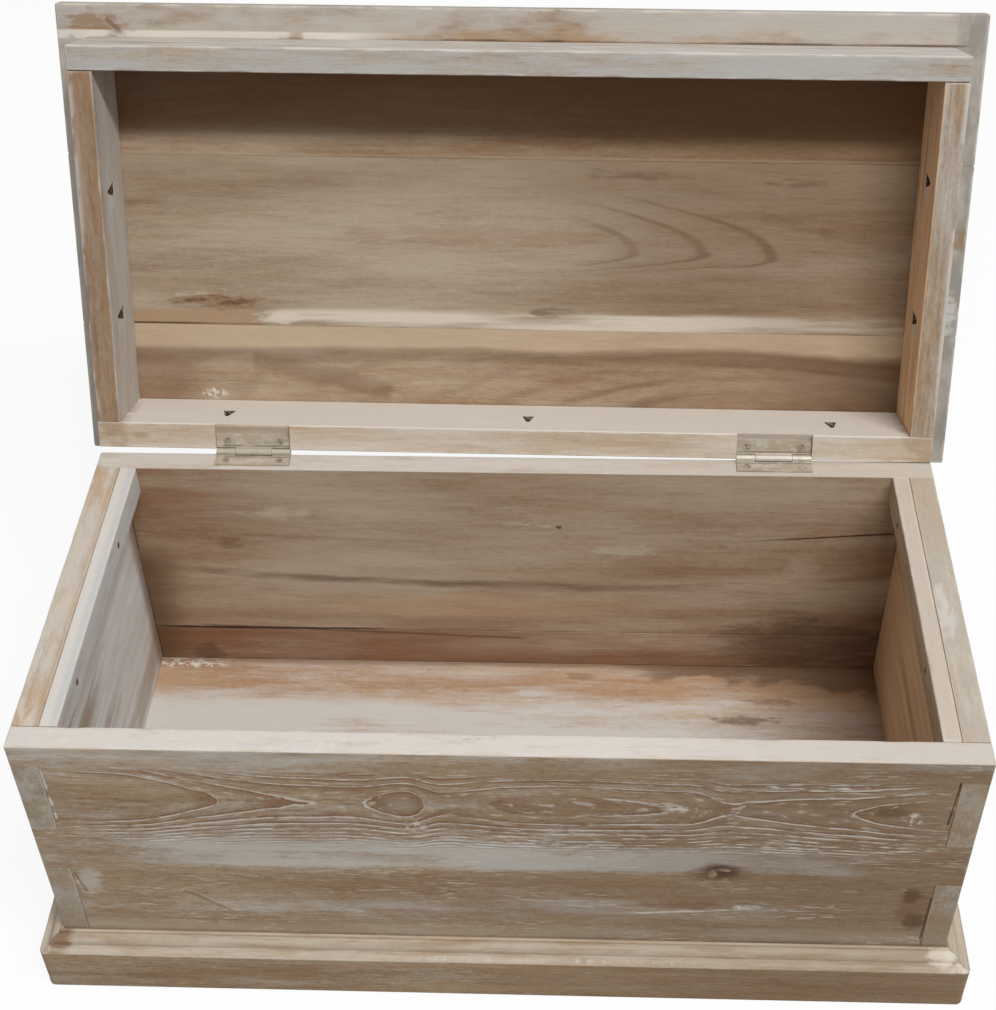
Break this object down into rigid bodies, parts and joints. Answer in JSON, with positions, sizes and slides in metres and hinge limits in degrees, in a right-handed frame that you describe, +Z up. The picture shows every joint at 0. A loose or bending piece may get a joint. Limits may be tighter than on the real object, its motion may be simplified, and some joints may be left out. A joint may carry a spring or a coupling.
{
  "type": "storage trunk",
  "caption": "Low rectangular timber storage trunk with finger-jointed corners, a mitred moulded plinth and a framed plank lid on butt hinges, standing open.",
  "frame": {"origin": "middle of the footprint of the trunk with its lid open, on the ground", "axes": "+X to the right along the trunk's length, -Y to the front, +Z up"},
  "size_m": [0.754, 0.5552, 0.5869],
  "materials": {
    "washed_timber": "worn white wash over brown timber",
    "brown_timber": "bare brown timber with traces of wash",
    "hinge_steel": "dull worn steel with paint on it",
    "screw_steel": "dark rusty steel"
  },
  "bodies": {
    "box": {"front_board": "washed_timber", "back_board_upper": "brown_timber", "back_board_lower": "brown_timber", "left_end_board": "washed_timber", "right_end_board": "washed_timber", "floor_board": "washed_timber", "left_batten": "washed_timber", "right_batten": "washed_timber", "left_batten_nail_front": "screw_steel", "left_batten_nail_back": "screw_steel", "right_batten_nail_front": "screw_steel", "right_batten_nail_back": "screw_steel", "plinth_front": "washed_timber", "plinth_back": "washed_timber", "plinth_left": "washed_timber", "plinth_right": "washed_timber", "left_hinge_box_leaf": "hinge_steel", "left_hinge_pin": "hinge_steel", "left_hinge_box_screw_left": "screw_steel", "left_hinge_box_screw_right": "screw_steel", "right_hinge_box_leaf": "hinge_steel", "right_hinge_pin": "hinge_steel", "right_hinge_box_screw_left": "screw_steel", "right_hinge_box_screw_right": "screw_steel"},
    "lid": {"lid_plank_front": "brown_timber", "lid_plank_middle": "brown_timber", "lid_plank_back": "brown_timber", "lid_front_rail": "washed_timber", "lid_back_rail": "washed_timber", "lid_left_rail": "washed_timber", "lid_right_rail": "washed_timber", "left_rail_screw_front": "screw_steel", "left_rail_screw_back": "screw_steel", "right_rail_screw_front": "screw_steel", "right_rail_screw_back": "screw_steel", "back_rail_screw_left": "screw_steel", "back_rail_screw_middle": "screw_steel", "back_rail_screw_right": "screw_steel", "front_rail_screw_left": "screw_steel", "front_rail_screw_middle": "screw_steel", "front_rail_screw_right": "screw_steel", "left_hinge_lid_leaf": "hinge_steel", "left_hinge_lid_screw_left": "screw_steel", "left_hinge_lid_screw_right": "screw_steel", "right_hinge_lid_leaf": "hinge_steel", "right_hinge_lid_screw_left": "screw_steel", "right_hinge_lid_screw_right": "screw_steel"}
  },
  "joints": [
    {"name": "lid_hinge", "type": "hinge", "parent": "box", "child": "lid", "pos_m": [-0.0013, 0.06787, 0.2785], "axis": [1, 0, 0], "range_deg": [0, 111.3]}
  ]
}
